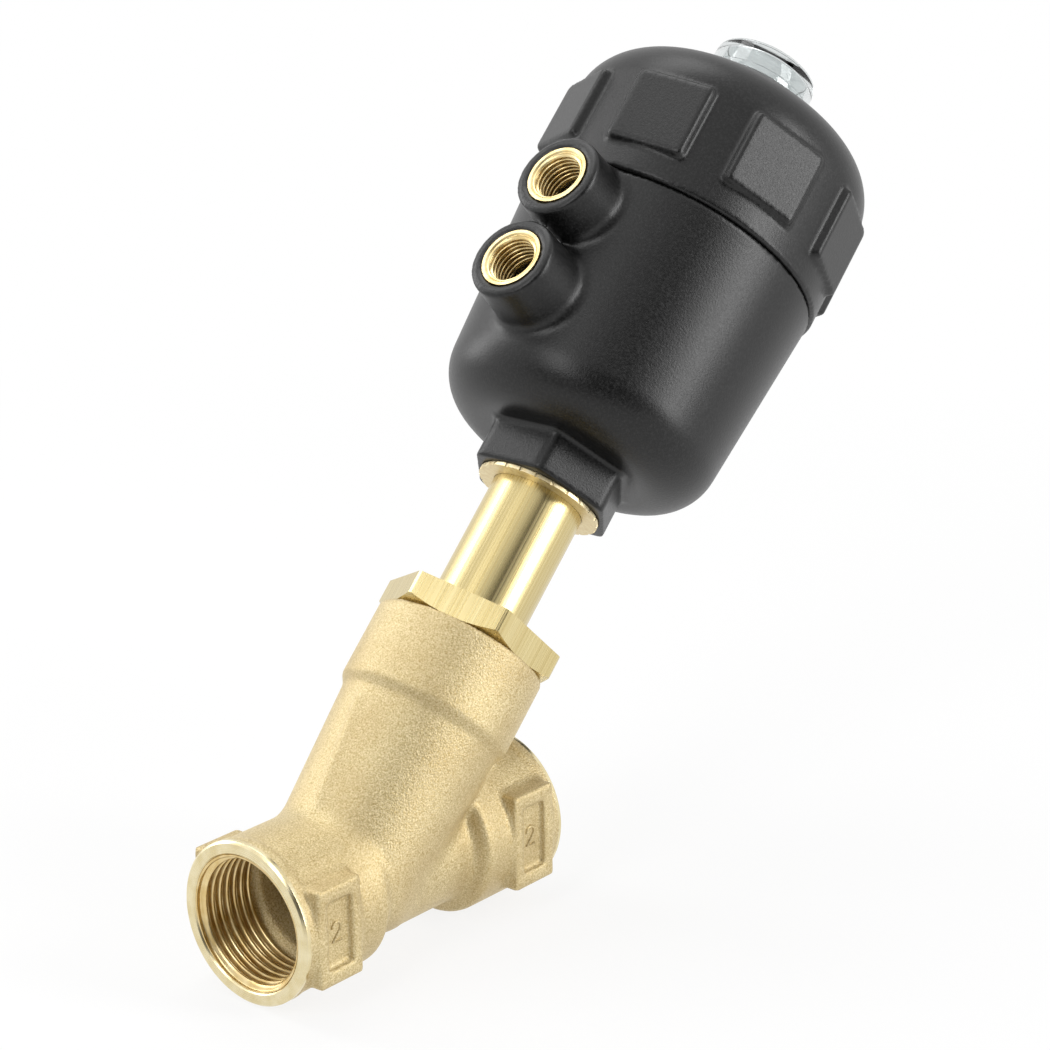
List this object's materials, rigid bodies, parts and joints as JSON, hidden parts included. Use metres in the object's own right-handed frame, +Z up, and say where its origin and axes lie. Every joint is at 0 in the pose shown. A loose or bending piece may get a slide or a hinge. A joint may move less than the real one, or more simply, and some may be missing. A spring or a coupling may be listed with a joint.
{
  "type": "angle seat valve",
  "caption": "Two-way angle seat valve: cast threaded body, slanted brass bonnet and a round black piston actuator with pilot air ports and a clear indicator window.",
  "frame": {"origin": "centre of the inlet port's face, on the pipe's centre line", "axes": "+X along the pipe from inlet to outlet, +Z up, stem leaning 45 degrees from +X towards +Z in the XZ plane"},
  "size_m": [0.2115, 0.086, 0.2023],
  "materials": {
    "gunmetal": "sand-cast, dull",
    "turned_brass": "turned, satin to polished",
    "pale_brass": "milled, dull",
    "port_brass": "turned",
    "black_polyamide": "glass-filled, fine spark-eroded grain",
    "dark_polyamide": "moulded",
    "clear_cap": "clear moulded polysulphone",
    "stainless": "turned",
    "spring_steel": "drawn, plated",
    "ptfe": "smooth",
    "rubber": "smooth",
    "indicator_yellow": "moulded"
  },
  "bodies": {
    "valve_body": {"valve_body": "gunmetal", "bonnet_gasket": "ptfe", "bonnet": "turned_brass", "wiper_ring": "ptfe", "packing_spring": "spring_steel", "packing_support_ring": "stainless", "chevron_rings": "ptfe", "packing_gland_ring": "stainless", "guide_bush": "ptfe", "spindle_seal": "rubber", "packing_circlip": "spring_steel", "actuator_circlip": "spring_steel"},
    "actuator": {"actuator_housing": "black_polyamide", "housing_insert": "pale_brass", "tube_o_ring": "rubber", "lower_port_insert": "port_brass", "upper_port_insert": "port_brass", "actuator_cover": "black_polyamide", "cover_o_ring": "rubber", "spring_plate": "spring_steel", "return_spring_outer": "spring_steel", "return_spring_inner": "spring_steel", "indicator_cap": "clear_cap", "cap_o_ring": "rubber"},
    "spindle": {"spindle": "stainless", "disc_holder": "stainless", "disc_seal": "ptfe", "seal_washer": "stainless", "seal_screw": "stainless", "disc_pin": "stainless", "piston": "dark_polyamide", "piston_seal": "rubber", "piston_guide_ring": "ptfe", "piston_washer": "spring_steel", "piston_nut": "spring_steel", "position_indicator": "indicator_yellow"}
  },
  "joints": [
    {"name": "actuator_turn", "type": "hinge", "parent": "valve_body", "child": "actuator", "pos_m": [0.10011, 0, 0.07071], "axis": [0.7071, 0, 0.7071], "continuous": true},
    {"name": "spindle_lift", "type": "slide", "parent": "valve_body", "child": "spindle", "axis": [0.7071, 0, 0.7071], "range_m": [0, 0.012], "stiffness_N_per_m": 12000, "springref_m": -0.03, "deforming": ["return_spring_outer", "return_spring_inner"]}
  ]
}
